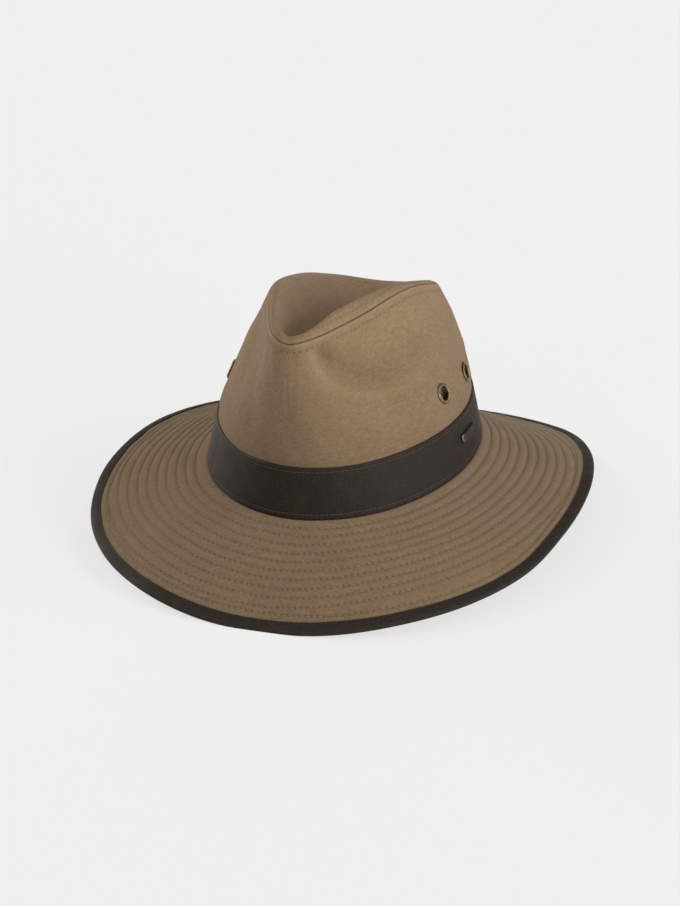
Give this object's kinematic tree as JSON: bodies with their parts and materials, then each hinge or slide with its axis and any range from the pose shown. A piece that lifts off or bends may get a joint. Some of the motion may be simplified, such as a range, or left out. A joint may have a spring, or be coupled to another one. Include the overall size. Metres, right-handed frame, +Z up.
{
  "type": "fedora hat",
  "caption": "Cotton fedora with a teardrop crown, a wide stitched brim with a bound edge, a dark cloth band, vent eyelets and a plain metal plate.",
  "frame": {"origin": "on the floor under the middle of the brim, where the hat rests on its brim's edge", "axes": "+Z up through the crown, +Y towards the back of the hat, so its front faces -Y, and +X towards the wearer's left"},
  "size_m": [0.3152, 0.3263, 0.1624],
  "materials": {
    "crown_cloth": "matte khaki cotton twill",
    "brim_cloth": "matte khaki cotton, quilted with rows of stitches",
    "binding_cloth": "dark brown waxed cotton",
    "band_cloth": "dark brown waxed cotton",
    "eyelet_brass": "antique brass",
    "plate_metal": "dark antique metal, blank"
  },
  "bodies": {
    "root": {"crown_side": "crown_cloth", "crown_tip": "crown_cloth", "brim": "brim_cloth", "brim_binding": "binding_cloth", "hat_band": "band_cloth", "eyelet_left_front": "eyelet_brass", "eyelet_left_back": "eyelet_brass", "eyelet_right_front": "eyelet_brass", "eyelet_right_back": "eyelet_brass", "band_plate": "plate_metal"}
  },
  "joints": []
}
